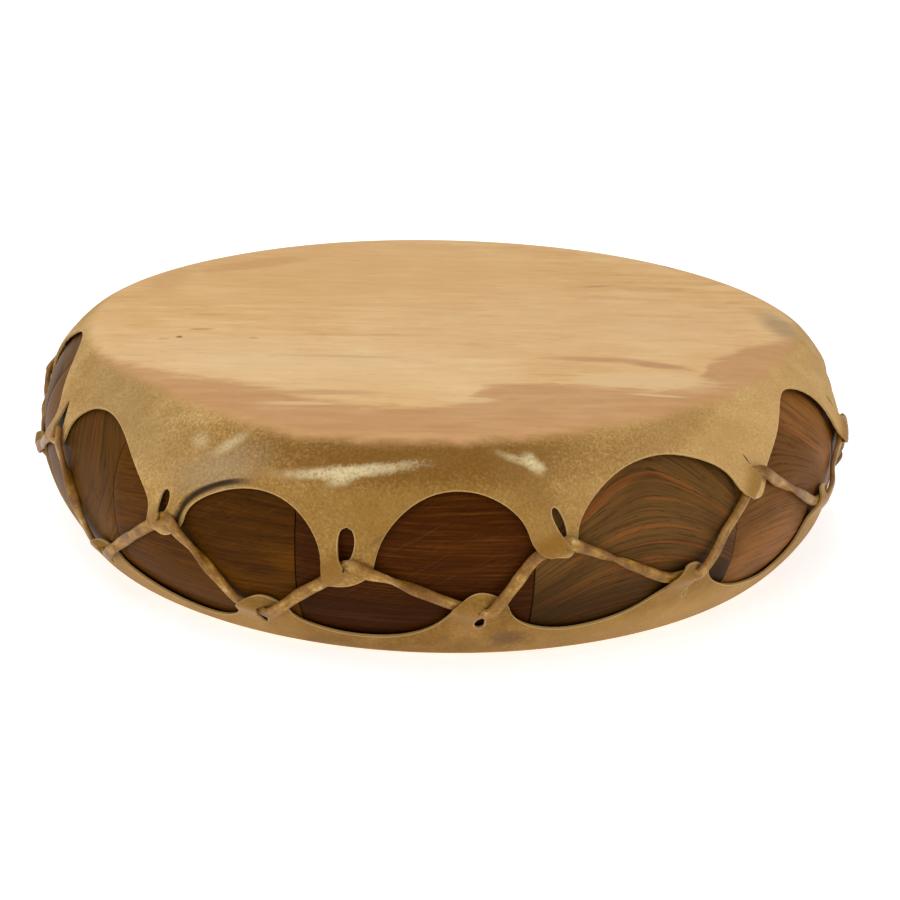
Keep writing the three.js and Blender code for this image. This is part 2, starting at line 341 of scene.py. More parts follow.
bottomHead = {
    "side": -1,
    "tipDepth": 6,
    "thongUnder": (-3.2, 4.2),
    "tabs": [{**usualTab, "wide": (3.3, 3.3), **dict(zip(tabKeys, row))} for row in (
        (-138.3, -20.5, -38.4, (-0.1, 8.6, 4.6, 1.4, 0), 3.4, 0.45),
        (-111.2, -19.5, -35, (-0.2, 10.4, 4.6, 1.5, 0), 4.6, -0.1),
        (-85.2, -9.6, -30.6, (-0.1, 12.4, 5.2, 2.4, 0), 4.6, -0.2),
        (-59, -7.2, -32.4, (-0.1, 10.6, 6.2, 0.7, 0), 4.6, 0.2),
        (-30.5, 0.5, -32, (-0.1, 10.8, 5, 1.4, 0), 3.8),
        (-5.7, -8, -34, (-0.1, 10.8, 5, 1.8, 0)),
        (19.2, -12, -36, (-0.1, 10.8, 5, 1.8, 0)),
        (44, -9, -34, (-0.1, 10.8, 5, 2.0, 0)),
        (68.8, -13, -36, (-0.1, 10.4, 4.6, 1.6, 0)),
        (93.7, -10, -35, (-0.1, 10.8, 5, 1.8, 0)),
        (118.5, -8, -34, (-0.1, 11.0, 5.2, 2.0, 0)),
        (143.3, -11, -36, (-0.1, 10.4, 4.6, 1.6, 0)),
        (168.2, -9, -38, (-0.1, 10.8, 5, 1.8, 0)),
        (193, -3, -41, (-0.1, 10.8, 5, 1.6, 0), 4.2),
    )],
}
hide = {
    "thickness": 1.15,
    "tabColumns": 19,
    "windowColumns": 27,
    "faceRows": 9,
    "faceSteps": (0.93, 0.012),  # the first and the last row's share of the way in from the rim
    "sideRows": 50,
    "gather": 3,  # how soon the columns leave the rim's even spacing for the edge's
    "tipRoundness": 1.95,
    "liftAbove": 6.5,  # a lifted lip comes down over these distances, towards the rim and the tip
    "liftBelow": 4.2,
    "liftSlant": 0.4,  # the line between the two falls to the right
    "liftRound": (40, 240),  # degrees round the slit's near end, where it begins to rise and is up
    "roll": 0.6,  # how far a lip's tip turns in again
    "rollReach": 4,  # over this distance from the edge
    "rollFrom": (-5, -0.5),  # and from here to the right of the tab's angle
    "shoulder": 4.5,  # how far the bend at the rim is spread
    "unevenness": 0.3,  # dried hide is never quite flat
    "sideWaves": (5, 24),  # seed, and size in millimetres
    "hugWaves": (11, 9),
    "faceWaves": (9, 45),
    "hidden": 3.2,  # how much of each slit's near end stays shut, over the thong
    "ajar": 0.12,  # and how far even that part stands open
    "slitWidest": 0.15,  # how much wider a slit is towards the rim
    "slitReach": 0.9,  # the hide round a slit gives way over this share of its tab
    "slitFade": 1.3,
    "sideFrom": 8,  # past the rim the side's own shape comes in over this
    "toneFrom": 20,  # and its own tone over this, to both sides of the rim
    "hug": 0.55,  # it is drawn down on the wood round each window
    "hugReach": 3,
    "edgeBevel": 0.3,
    "edgeFelt": 12,  # the distance from an edge is told up to this
    # where the hide bridges clear of the wood: angle, half width, lift
    "bridges": [(-54.5, 4.5, 2.4), (-25.5, 3.5, 2.0)],
    "bridgeReach": 7,
    # where a fold runs along a window's edge: from, to, distance from the edge, height
    "folds": [(-123.5, -112.0, 2.8, 1.5)],
    "groove": (1.25, 1.0),  # the groove beside a fold: half width, depth
    "foldWidth": (2, 3, 10),  # past the groove it is full from the first to the second, gone at the third
}
degreeLength = math.radians(1) * drum["radius"]  # a degree on the widest line, in millimetres


def smooth(value, low, high):
    share = np.clip((value - low) / (high - low), 0, 1)
    return share * share * (3 - 2 * share)


def turnsPast(angle, middle):
    return np.mod(angle - middle + 180, 360) - 180


def edgeStations(head):
    # the scalloped edge once round, as angles and heights, and the same stations' angles at the rim,
    # where they are spread evenly from the middle of each tab to the next
    tabs, tip = head["tabs"], head["side"] * head["tipDepth"]
    angles, heights, middles = [], [], []
    for tab, after in zip(tabs, tabs[1:] + tabs[:1]):
        turn = 360 if after is tabs[0] else 0
        (left, right), tipAt = tab["wide"], tab["tipAt"]
        across = np.linspace(-1, 1, hide["tabColumns"])
        middles.append(sum(len(part) for part in angles) + hide["tabColumns"] // 2)
        angles.append(tab["angle"] + tipAt + across * np.where(across < 0, left + tipAt, right - tipAt))
        heights.append(tab["lip"] + tip * np.abs(across) ** hide["tipRoundness"])
        start, end = tab["angle"] + right, after["angle"] + turn - after["wide"][0]
        along = np.sin(np.linspace(-math.pi / 2, math.pi / 2, hide["windowColumns"] + 2)[1:-1])
        foot = tab["lip"] + (after["lip"] - tab["lip"]) * (along + 1) / 2 + tip
        reach = (tab["edge"] - foot) * np.sqrt(1 - along ** 2) * (1 + tab["lean"] * along)
        angles.append((start + end) / 2 + along * (end - start) / 2)
        heights.append(foot + reach)
    angles, heights = np.concatenate(angles), np.concatenate(heights)
    count = len(angles)
    for _ in range(2):  # the knife rounded every corner
        wrapped = np.concatenate([[angles[-1] - 360], angles, [angles[0] + 360]])
        angles = (wrapped[:-2] + 2 * wrapped[1:-1] + wrapped[2:]) / 4
        heights = (np.roll(heights, 1) + 2 * heights + np.roll(heights, -1)) / 4
    knots = middles + [middles[0] + count]
    values = [angles[k] for k in middles] + [angles[middles[0]] + 360]
    places = np.arange(count)
    rimAngles = np.interp(np.where(places < middles[0], places + count, places), knots, values)
    rimAngles = np.where(places < middles[0], rimAngles - 360, rimAngles)
    angles, heights = np.append(angles, angles[0] + 360), np.append(heights, heights[0])
    return angles, heights, np.append(rimAngles, rimAngles[0] + 360)


def tabFrame(head, tab, angle, h):
    # millimetres to the right of the tab's angle, and from its tip towards the rim
    return turnsPast(angle, tab["angle"]) * degreeLength, head["side"] * (h - tab["lip"])


def scallopDistance(angle, h, stations, edge):
    # millimetres from the scalloped edge, measured along the hide
    overlap, finer = 60, 8
    stations = np.concatenate([stations[-overlap - 1:-1] - 360, stations, stations[1:overlap + 1] + 360])
    edge = np.concatenate([edge[-overlap - 1:-1], edge, edge[1:overlap + 1]])
    index = np.arange(len(stations))
    fine = np.linspace(0, len(stations) - 1, (len(stations) - 1) * finer + 1)
    lineX, lineY = np.interp(fine, index, stations) * degreeLength, np.interp(fine, index, edge)
    places, line = (np.stack([x, y, 0 * x], -1) for x, y in ((angle * degreeLength, h), (lineX, lineY)))
    return nearestDistances(places, line)


def liftByThong(head, angle, h, sideOfCut, nearEdge):
    # the thong passes under the left of each lip and comes out at the slit's near end, over the right
    most = np.zeros(np.shape(angle))
    for number, tab in enumerate(head["tabs"]):
        x, y = tabFrame(head, tab, angle, h)
        slitPast, up, halfTall = tab["slit"][:3]
        fromX, fromY = head["thongUnder"][0] * degreeLength, head["thongUnder"][1]
        slitX, slitY = slitPast * degreeLength, up - halfTall
        runX, runY = slitX - fromX, slitY - fromY
        share = np.clip(((x - fromX) * runX + (y - fromY) * runY) / (runX ** 2 + runY ** 2), -0.4, 1)
        offX, offY = x - fromX - share * runX, y - fromY - share * runY
        wide = np.where(offY - offX * hide["liftSlant"] > 0, hide["liftAbove"], hide["liftBelow"])
        lift = tab["lift"] * np.exp(-(offX ** 2 + offY ** 2) / wide ** 2)
        # round the slit's near end: nothing on its right side, all of it on its left side
        bearing = np.degrees(np.mod(np.arctan2(x - slitX, y - slitY), 2 * math.pi))
        onCut = sideOfCut == number + 1
        bearing = np.where(onCut, 0, np.where(sideOfCut == -number - 1, 360, bearing))
        lift = lift * smooth(bearing, *hide["liftRound"])
        # the tip rolls in towards the wood, except where the thong goes in
        atTip = hide["roll"] * (1 - smooth(nearEdge, 0, hide["rollReach"]))
        lift = lift * (1 - atTip * smooth(x, *hide["rollFrom"]))
        most = np.maximum(most, lift)
    return most


def buildHead(name, head):
    side = head["side"]
    stations, edge, rimAngles = edgeStations(head)
    columns = len(stations)
    rimOf, roundness = (softRim, drum["topRoundness"]) if side > 0 else (rimRadius, drum["bottomRoundness"])
    rim = softRim(rimAngles) if side > 0 else np.full(columns, float(drum["bottomRim"]))
    top = side * halfHeight
    # rows on the flat face, closer together near the rim, and rows down the side
    slope = (drum["radius"] - rim) * roundness / halfHeight
    rows = []
    for part in np.concatenate([[0.0], 1 - np.geomspace(*hide["faceSteps"], hide["faceRows"] - 1)]):
        rows.append((rimAngles, np.full(columns, top), rim * part, rim * (part - 1)))
    for part in np.linspace(0, 1, hide["sideRows"]):
        turned = stations + (rimAngles - stations) * (1 - part) ** hide["gather"]
        h = top + (edge - top) * part
        depth = side * (top - h)
        rows.append((turned, h, hideRadius(turned, h, rimOf), np.hypot(depth, slope * depth)))
    angle, h, radius, past = (np.array([row[k] for row in rows]) for k in range(4))
    rowCount = len(rows)

    # the slits: each is a stretch of one column whose edges are split
    cuts = []
    for tab in head["tabs"]:
        slitPast, up, halfTall, halfWide, slant = tab["slit"]
        middle = tab["lip"] + side * up
        guess = int(np.argmin(np.abs(turnsPast(stations, tab["angle"] + slitPast))))
        row = hide["faceRows"] + int(np.argmin(np.abs(h[hide["faceRows"]:, guess] - middle)))
        column = int(np.argmin(np.abs(turnsPast(angle[row], tab["angle"] + slitPast))))
        inside = [r for r in range(hide["faceRows"], rowCount) if abs(h[r, column] - middle) < halfTall]
        ends = h[inside[0] - 1, column], h[inside[-1] + 1, column]
        middle, halfTall = sum(ends) / 2, abs(ends[0] - ends[1]) / 2
        cuts.append((column, inside[0], inside[-1], middle, halfTall, halfWide, slant))
    piece = wrapGrid(name, columns, rowCount, polar(angle, radius, h))
    mesh = piece.data
    cutEdges = {
        (row * columns + column, (row + 1) * columns + column)
        for column, first, last, *_ in cuts
        for row in range(first - 1, last + 1)
    }
    for part in (mesh.vertices, mesh.edges, mesh.polygons):
        part.foreach_set("select", [False] * len(part))
    for line in mesh.edges:
        if tuple(sorted(line.vertices)) in cutEdges:
            line.select = True
            for v in line.vertices:
                mesh.vertices[v].select = True
    numbers = mesh.attributes.new("station", "INT", "POINT")
    numbers.data.foreach_set("value", np.arange(len(mesh.vertices), dtype=np.int32))
    bpy.ops.object.mode_set(mode="EDIT")
    bpy.ops.mesh.select_mode(type="EDGE")
    bpy.ops.mesh.edge_split(type="EDGE")
    bpy.ops.mesh.select_mode(type="VERT")
    bpy.ops.object.mode_set(mode="OBJECT")
    station = np.zeros(len(mesh.vertices), np.int32)
    mesh.attributes["station"].data.foreach_get("value", station)
    mesh.attributes.remove(mesh.attributes["station"])
    column, row = station % columns, station // columns
    # which side of a cut a point is on, from the middle of the faces round it
    total, count = np.zeros(len(station)), np.zeros(len(station))
    for face in mesh.polygons:
        middleColumn = np.mean([column[v] for v in face.vertices])
        for v in face.vertices:
            total[v] += middleColumn
            count[v] += 1
    toRight = total / count > column
    a, z, r, s = (values.ravel()[station] for values in (angle, h, radius, past))
    opened, sideOfCut = a.copy(), np.zeros(len(station), int)
    for number, (cutColumn, first, last, middle, halfTall, halfWide, slant) in enumerate(cuts):
        inRows = (row >= first) & (row <= last)
        onCut = (column == cutColumn) & inRows
        sideOfCut = np.where(onCut, np.where(toRight, number + 1, -number - 1), sideOfCut)
        offset = a - angle[row, cutColumn]
        away = np.where(onCut, np.where(toRight, 1.0, -1.0), np.sign(offset))
        reach = max(head["tabs"][number]["wide"]) * hide["slitReach"]
        fade = np.clip(1 - np.abs(offset) / reach, 0, None)
        shut = hide["hidden"] / 2
        reachUp = np.clip((side * (z - middle) - shut) / (halfTall - shut), -1, 1)
        tall = np.sqrt(1 - reachUp ** 2) * (1 - hide["slitWidest"] + hide["slitWidest"] * reachUp)
        push = np.where(inRows, tall * halfWide + hide["ajar"], 0) / degreeLength
        slanted = slant * (z - middle) / halfTall * np.exp(-((z - middle) / halfTall) ** 4 / 8)
        near = (np.abs(offset) < reach) & (np.abs(z - middle) < 2.5 * halfTall)
        opened += np.where(near, away * push * fade ** hide["slitFade"], 0)
        opened -= np.where(near, side * slanted * fade, 0)

    # the bend at the rim is spread along the hide
    spread = hide["shoulder"]
    near = np.abs(s)
    tail = 0.5 * (1 - np.vectorize(math.erf)(near / spread / math.sqrt(2)))
    bend = spread * np.exp(-(near / spread) ** 2 / 2) / math.sqrt(2 * math.pi) - near * tail
    outward = slope[column] / np.hypot(slope[column], 1)
    downward = 1 / np.hypot(slope[column], 1)
    flat = polar(a, r, z)
    onSide = np.clip(s / hide["sideFrom"], 0, 1)
    nearEdge = scallopDistance(a, z, stations, edge)
    lift = liftByThong(head, a, z, sideOfCut, nearEdge) * onSide
    r = r + bend * (outward - 1) + lift
    r = r + onSide * hide["unevenness"] * waves(flat, *hide["sideWaves"])
    patchy = 1 + 0.8 * waves(flat, *hide["hugWaves"])
    r = r - onSide * hide["hug"] * np.exp(-nearEdge / hide["hugReach"]) * patchy
    # this marks the groove beside a fold, where the hide is darkened as painted shadow
    grooveShadow = np.zeros(len(a))
    if side > 0:
        for middle, halfWidth, height in hide["bridges"]:
            aside = turnsPast(a, middle) / halfWidth
            r = r + onSide * height * np.exp(-aside ** 2 - (nearEdge / hide["bridgeReach"]) ** 2)
        (halfGroove, deep), (full, falling, gone) = hide["groove"], hide["foldWidth"]
        for start, end, far, high in hide["folds"]:
            within = onSide * smooth(a, start - 1, start + 1) * (1 - smooth(a, end - 4, end + 1.5))
            groove = within * np.exp(-((nearEdge - far) / halfGroove) ** 4)
            swell = within * smooth(nearEdge, far, far + full)
            swell = swell * (1 - smooth(nearEdge, far + falling, far + gone))
            r = r + high * swell - deep * groove
            grooveShadow = np.maximum(grooveShadow, groove)
    z = z - side * bend * downward
    sunken = np.clip(1.1 + waves(flat, *hide["faceWaves"]), 0.1, None)  # the face only ever sinks
    z = z - side * (1 - onSide) * hide["unevenness"] * 0.5 * sunken
    movePoints(piece, polar(opened, r, z))
    setPointValues(piece, "lip", lift / usualTab["lift"])
    setPointValues(piece, "onSide", np.clip(s / hide["toneFrom"] + 0.5, 0, 1))
    setPointValues(piece, "grooveShadow", grooveShadow)
    closeMesh(piece)
    setEdgeDistance(piece)
    applyModifier(piece, "SOLIDIFY", thickness=hide["thickness"] * mm, offset=-1, use_even_offset=False)
    applyModifier(piece, "BEVEL", width=hide["edgeBevel"] * mm, segments=2, limit_method="ANGLE",
                  angle_limit=math.radians(55), use_clamp_overlap=True)
    addSkinMap(piece)
    return piece


def setEdgeDistance(piece):
    # how far each point lies from the cut edge or a slit, in millimetres
    mesh = piece.data
    uses = np.zeros(len(mesh.edges), int)
    for face in mesh.polygons:
        for key in face.loop_indices:
            uses[mesh.loops[key].edge_index] += 1
    rimPoints = {v for line in mesh.edges if uses[line.index] == 1 for v in line.vertices}
    far = nearestDistances([v.co for v in mesh.vertices], [mesh.vertices[v].co for v in rimPoints]) / mm
    setPointValues(piece, "fromEdge", np.minimum(far, hide["edgeFelt"]))


def addSkinMap(piece):
    # metres round the drum and up from mid height, with the seam at the back
    mesh = piece.data
    layer = mesh.uv_layers.new(name="skin")
    places = pointPlaces(piece)
    turn = np.degrees(np.arctan2(places[:, 1], places[:, 0]))
    turn = np.where(turn > 90, turn - 360, turn)
    height = places[:, 2] / mm - halfHeight
    corners = np.zeros(len(mesh.loops), np.int32)
    mesh.loops.foreach_get("vertex_index", corners)
    aroundDrum = turn[corners]
    for face in mesh.polygons:
        keys = list(face.loop_indices)
        if aroundDrum[keys].max() - aroundDrum[keys].min() > 180:
            aroundDrum[keys] = np.where(aroundDrum[keys] < -90, aroundDrum[keys] + 360, aroundDrum[keys])
    uv = np.stack([np.radians(aroundDrum) * drum["radius"] * mm, height[corners] * mm], -1)
    layer.data.foreach_set("uv", uv.astype(np.float32).ravel())


def addSpots(add, base, place, spots, ragged, rough, unit=1, fleck=None):
    # each spot is an oval with a ragged edge; the grain flecks the narrow ones, the scars and the dashes of
    # painted crease shade
    for shade, strength, x, y, reachX, reachY, turn, soft in spots:
        narrowMark = fleck is not None and reachY < skinLook["narrowMarkWidth"]
        oval = add("Mapping", {"Vector": place, "Location": (x * unit, y, 0),
                               "Rotation": (0, 0, math.radians(turn)), "Scale": (reachX, reachY, 1e5)},
                   vector_type="TEXTURE")
        far = add("VectorMath", [oval], operation="LENGTH").outputs["Value"]
        fray = skinLook["narrowMarkRough"] if narrowMark else rough
        uneven = add("Math", [ragged, fray, far], operation="MULTIPLY_ADD")
        mask = add("MapRange", [uneven, 1 + soft, 1 - soft], interpolation_type="SMOOTHSTEP")
        if narrowMark:
            mask = add("Math", [mask, fleck], operation="MULTIPLY")
        base = stainOrShade(add, base, shade, mask, strength)
    return base


# Rawhide: cow skin, scraped, stretched wet and dried. Its face is smooth, creamy and faintly streaked;
# down the side it keeps a felt-like grain, and where it is rolled over the thong it goes amber and glossy
skinLook = {
    "faceTones": [(0.34, 0xCA9757), (0.44, 0xD6A768), (0.54, 0xDEB377), (0.66, 0xE6C288)],
    "sideTones": [(0.34, 0x9C773F), (0.46, 0xAE8649), (0.56, 0xBA9458), (0.68, 0xCAA66C)],
    # the bottom head's tones, darkened as painted shade
    "bottomShadedTones": [(0.34, 0x6D4A12), (0.46, 0x7F591D), (0.56, 0x8D662A), (0.68, 0xA57E41)],
    "bandTones": [(0.35, 0xBA8650), (0.50, 0xC5935D), (0.63, 0xCF9F6A)],
    # patterns: size, detail, roughness, distortion
    "streak": ((46, 6.4, 20), 4, 0.58, 0.5),
    "cloud": (55, 2, 0.55),
    "freckle": ((14, 6, 9), 3, 0.6, 0.6),
    "ragged": ((16, 3.4, 9), 4, 0.6, 0.4),  # what frays the spots' edges
    "hair": ((9, 1.3, 6), 2, 0.5),  # short brown dashes along the streaks
    "grain": (1.15, 2, 0.6),  # felt-like nap, just wide enough to show
    "felt": (4, 3, 0.7),
    "mottle": (11, 3, 0.55),
    "blotch": (42, 2, 0.55),
    "faceShares": (0.40, 0.32, 0.28),  # how much of streak, cloud and freckle
    "sideShares": (0.16, 0.38, 0.46),  # how much of grain, mottle and blotch
    "edgeShares": (0.65, 0.35),  # how much of grain and felt frays the marks on the side
    # how ragged the spots are: on the face, on its band, on the side, and the narrow ones there, scars and
    # dashes of painted crease shade
    "faceRough": 1.2,
    "bandRough": 1.4,
    "sideRough": 1.6,
    "narrowMarkRough": 3.0,
    "narrowMarkWidth": 5,
    # where a thing begins and where it is full, and then what it is at both ends
    "cutEdge": (0.7, 0.25),  # the cut edge, its own paler tone and partly a painted highlight, in millimetres
    "hairMarks": (0.66, 0.76),
    "fleck": (0.34, 0.52, 0.5),
    "nap": (0.28, 0.72, 0.84, 1.15),
    "turned": (0.30, 0.74),  # from the face's look to the side's
    "lip": (0.12, 0.75),
    "roughness": (0, 1, 0.46, 0.66),  # on the face and on the side
    "lipShine": -0.26,
    "hairTone": 0xAF7F49,
    "lipTone": 0x825712,
    # painted shadow in the groove beside a fold
    "grooveShadowTone": 0x2A1A08,
    "cutPaleAndHighlight": 0xD4B378,
    # the front of the face is darker outside this line, as x and y, which all lie inside the box
    "bandBox": (-180, 180, -180, 20),
    "bandSoft": 6,
    "bandFray": 22,
    "bandLine": [(-180, -40), (-144, -88), (-119, -104), (-81, -118), (-45, -138), (5, -138), (22, -110),
                 (66, -108), (100, -112), (124, -70), (145, -47), (180, -20)],
    # spots: colour, strength, x, y, how far they reach along x and y, turn, softness
    "faceSpots": [
        (0xD2A263, 0.5, -60, 95, 150, 80, 0, 0.6),
        (0xE8C796, 0.45, -70, -84, 95, 34, -12, 0.7),
        (0xE0B98A, 0.35, 60, -20, 100, 60, 0, 0.7),
        (0xC0874A, 0.45, -106, 102, 34, 9, 35, 0.5),
        (0xBD8A50, 0.4, -150, 64, 10, 26, 0, 0.6),
        (0xB98654, 0.6, 70, -70, 22, 3.6, -3, 0.5),
        (0xB98654, 0.6, 97, -77, 14, 4.5, -20, 0.5),
        (0xB78A5C, 0.55, -50, -125, 26, 3.2, 3, 0.5),
        (0xC08B55, 0.35, 112, 62, 30, 5, -8, 0.6),
        (0xC18D55, 0.3, 100, 40, 26, 4, -6, 0.6),
        (0xB48752, 0.35, -44, -73, 24, 2.2, 0, 0.6),
        (0xB48752, 0.3, -40, -38, 34, 2.2, 4, 0.6),
        (0x8B7350, 0.6, 169, -8, 8, 26, 8, 0.6),
        (0xA87F4C, 0.5, -90, -47, 2.0, 1.6, 0, 0.6),
        (0x6B4A26, 0.8, -125, -48, 1.2, 1.6, 0, 0.5),
        (0xA0743F, 0.5, -132, -52, 2.8, 1.0, 8, 0.5),
        (0x8A6238, 0.5, -117, -34, 5.5, 1.6, 8, 0.4),
        (0x7C5A30, 0.55, 129, 116, 1.2, 7, 28, 0.4),
        (0x9A6E3E, 0.45, 83, 66, 9, 1.4, 14, 0.4),
    ],
    "bandSpots": [
        (0xE0BC86, 0.75, -59, -140, 19, 2.4, 4, 0.5),
        (0xE0BC86, 0.75, 9, -131, 13, 5.0, 0, 0.4),
        (0xDEB983, 0.85, 88, -101, 31, 12, -4, 0.3),
        (0xE0BC86, 0.75, 92, -121, 11, 1.5, -8, 0.4),
        (0xB58358, 0.45, 97, -77, 14, 4.5, -20, 0.4),
    ],
    "undersideSpots": [
        (0xCC9C62, 0.5, 40, 60, 140, 70, 20, 0.6),
        (0xE4C594, 0.4, -70, -40, 90, 50, -25, 0.6),
        (0xBE8B55, 0.45, 90, -60, 30, 8, 15, 0.5),
        (0xBA8852, 0.4, -20, 120, 50, 7, -5, 0.5),
        (0x9A7040, 0.45, -60, 30, 7, 1.6, 10, 0.4),
    ],
    # on the side their x is an angle and their y a height
    "sideSpots": [
        # the next two darken the front of the side and the band just under its ridge: partly the hide's
        # browner tone there, partly painted shade
        (0x86601F, 0.75, -93, 22, 84, 32, 0, 0.7),
        (0x744C10, 0.8, -93, 40.5, 78, 8, 0, 0.6),
        (0x97794B, 0.5, -137, 36, 62, 13, -8, 0.7),
        (0xA08A6C, 0.45, -117, 30, 20, 7, 20, 0.6),
        (0xCDA468, 0.6, -36, 22, 100, 38, 0, 0.8),
        (0x8C6531, 0.45, -60, 42, 40, 5, 8, 0.6),
        (0xD5C195, 0.85, -100.6, 36.4, 25, 2.0, 7, 0.5),
        (0xD3BF90, 0.8, -101.3, 34.6, 6, 2.6, 20, 0.5),
        (0xD3BF90, 0.65, -80.6, 40.2, 9, 1.2, -16, 0.5),
        (0xD3BF90, 0.85, -78.9, 38.9, 4.6, 2.4, -30, 0.5),
        (0xCFBB8C, 0.6, -116.5, 39.3, 7, 2.0, 32, 0.6),
        (0xC9B486, 0.5, -121.2, 37.5, 4.5, 2.4, 0, 0.6),
        # the next three are dark dashes beside the slit at -101 degrees: painted shade of faint creases,
        # with no fold in the hide under them
        (0x6E5024, 0.6, -96.8, 12.5, 5.5, 0.8, 38, 0.6),
        (0x6E5024, 0.5, -94.2, 16.0, 5.0, 0.9, 20, 0.6),
        (0x7A5A2C, 0.45, -104.8, 11.5, 5.0, 0.8, -42, 0.6),
        (0x8A6531, 0.55, -80.0, 31.5, 15, 5, -38, 0.7),
        (0xC0985A, 0.45, -56, -38, 70, 12, 0, 0.8),
        (0xBE9458, 0.4, -125, -36, 60, 14, 0, 0.8),
        (0x5E4026, 0.8, -81.5, -34, 8, 4.5, -6, 0.6),
        (0x9C6B3E, 0.45, -86.5, -26, 6, 5, 0, 0.7),
    ],
}


def makeRawhide(name, tones, lipStrength, faceSpots, bandSpots):
    material, add, setShader = newMaterial(name)
    look = skinLook
    onDrum, onSkin = add("TexCoord").outputs["Object"], add("UVMap", uv_map="skin")
    place, skin = (add("VectorMath", {"Vector": source, "Scale": 1 / mm}, operation="SCALE")
                   for source in (onDrum, onSkin))
    streak, cloud, freckle, ragged, hair, grain, felt, mottle, blotch = (
        pattern(add, place, *look[key])
        for key in ("streak", "cloud", "freckle", "ragged", "hair", "grain", "felt", "mottle", "blotch"))
    onSide, lip, grooveShadow, fromEdge = (
        add("Attribute", attribute_name=key).outputs["Fac"]
        for key in ("onSide", "lip", "grooveShadow", "fromEdge"))
    ragged, uneven, grainy = (add("Math", [value, 0.5], operation="SUBTRACT") for value in (
        ragged, mottle, weighed(add, (grain, felt), look["edgeShares"])))

    faceTone = weighed(add, (streak, cloud, freckle), look["faceShares"])
    face = add("ValToRGB", [faceTone], look["faceTones"])
    face = addSpots(add, face, place, faceSpots, ragged, look["faceRough"])
    if bandSpots:
        # the darker band along the front
        left, right, bottom, top = look["bandBox"]
        split = add("SeparateXYZ", [place])
        line = add("FloatCurve", {"Value": add("MapRange", [split.outputs["X"], left, right])})
        curve = line.mapping.curves[0]
        while len(curve.points) < len(look["bandLine"]):
            curve.points.new(0.5, 0.5)
        for point, (x, y) in zip(curve.points, look["bandLine"]):
            point.location = (x - left) / (right - left), (y - bottom) / (top - bottom)
        line.mapping.update()
        edge = add("Math", [line, top - bottom, bottom], operation="MULTIPLY_ADD")
        past = add("Math", [edge, split.outputs["Y"]], operation="SUBTRACT")
        past = add("Math", [ragged, look["bandFray"], past], operation="MULTIPLY_ADD")
        band = add("MapRange", [past, -look["bandSoft"], look["bandSoft"]], interpolation_type="SMOOTHSTEP")
        face = add("Mix", [band, face, add("ValToRGB", [faceTone], look["bandTones"])], data_type="RGBA")
    face = addSpots(add, face, place, bandSpots, ragged, look["bandRough"])
    face = stainOrShade(add, face, look["hairTone"], add("MapRange", [hair, *look["hairMarks"]]), 0.5)

    side = add("ValToRGB", [weighed(add, (grain, mottle, blotch), look["sideShares"])], tones)
    fleck = add("MapRange", [grain, *look["fleck"]])
    side = addSpots(add, side, skin, look["sideSpots"], grainy, look["sideRough"], degreeLength, fleck)
    nap = add("MapRange", [grain, *look["nap"]])
    side = add("Mix", [1.0, side, nap], data_type="RGBA", blend_type="MULTIPLY")
    turned = add("Math", [uneven, 0.45, onSide], operation="MULTIPLY_ADD")
    turned = add("MapRange", [turned, *look["turned"]], interpolation_type="SMOOTHSTEP")
    base = add("Mix", [turned, face, side], data_type="RGBA")

    lip = add("MapRange", [lip, *look["lip"]], interpolation_type="SMOOTHSTEP")
    base = stainOrShade(add, base, look["lipTone"], lip, lipStrength)
    # painted shadow: the groove beside the fold is darkened
    base = stainOrShade(add, base, look["grooveShadowTone"], grooveShadow, 0.95)
    # the cut edge is paler: partly its own tone, partly a painted highlight where it catches light
    cut = add("MapRange", [fromEdge, *look["cutEdge"]], interpolation_type="SMOOTHSTEP")
    bare = add("Math", [lip, -0.6, 1.0], operation="MULTIPLY_ADD")
    base = stainOrShade(add, base, look["cutPaleAndHighlight"], add("Math", [cut, bare], operation="MULTIPLY"), 0.4)

    # the rolled lips shine and the nap is dull
    dull = add("MapRange", [turned, *look["roughness"]])
    shine = add("Math", [lip, look["lipShine"], dull], operation="MULTIPLY_ADD")
    height = add("Math", [grain, turned], operation="MULTIPLY")
    height = add("Math", [streak, 0.12, height], operation="MULTIPLY_ADD")
    bump = add("Bump", {"Strength": 0.7, "Distance": 0.22 * mm, "Height": height})
    setShader({"Base Color": base, "Roughness": shine, "Normal": bump, "IOR": 1.5,
               "Specular IOR Level": 0.16})
    return material


for name, head, tones, lipStrength, faceSpots, bandSpots in (
    ("top", topHead, skinLook["sideTones"], 0.72, skinLook["faceSpots"], skinLook["bandSpots"]),
    # the bottom head is the same hide in darker tones, painted shade
    ("bottom", bottomHead, skinLook["bottomShadedTones"], 0.45, skinLook["undersideSpots"], []),
):
    rawhide = makeRawhide("rawhide" + name.title(), tones, lipStrength, faceSpots, bandSpots)
    finishPiece(buildHead(name + "_hide", head), rawhide, name + "_head")
print("heads ready")


# The staves: thirteen mitred blocks, rounded outside by hand and sanded
stave = {
    "cuts": 19,
    "edgeBevel": 0.45,
    "underHide": drum["hide"] + drum["gap"],
    "apart": 300,  # how far along the tree each board was cut from the last
    # each stave's growth rings: where the tree's middle lay below and behind it, and how far the
    # board is turned against it, which makes the lines run straight, slant or arch
    "pithBelow": [-90, -120, -140, -110, -80, 90, -70, 110, -95, 60, -60, 75, -70],
    "pithBehind": [70, 60, 50, 60, 90, 70, 50, 100, 80, 60, 120, 70, 90],
    "turn": [4, -2, 0, -14, 6, -8, 10, 4, -12, 7, -5, 9, 62],
    # how far the lines bow down at the span to each side of the board's middle
    "archSpan": 25,
    "arch": [2, 1, 6.5, 4, -3, 5, 2, -6, 3, 7, -2, 4, 3],
}


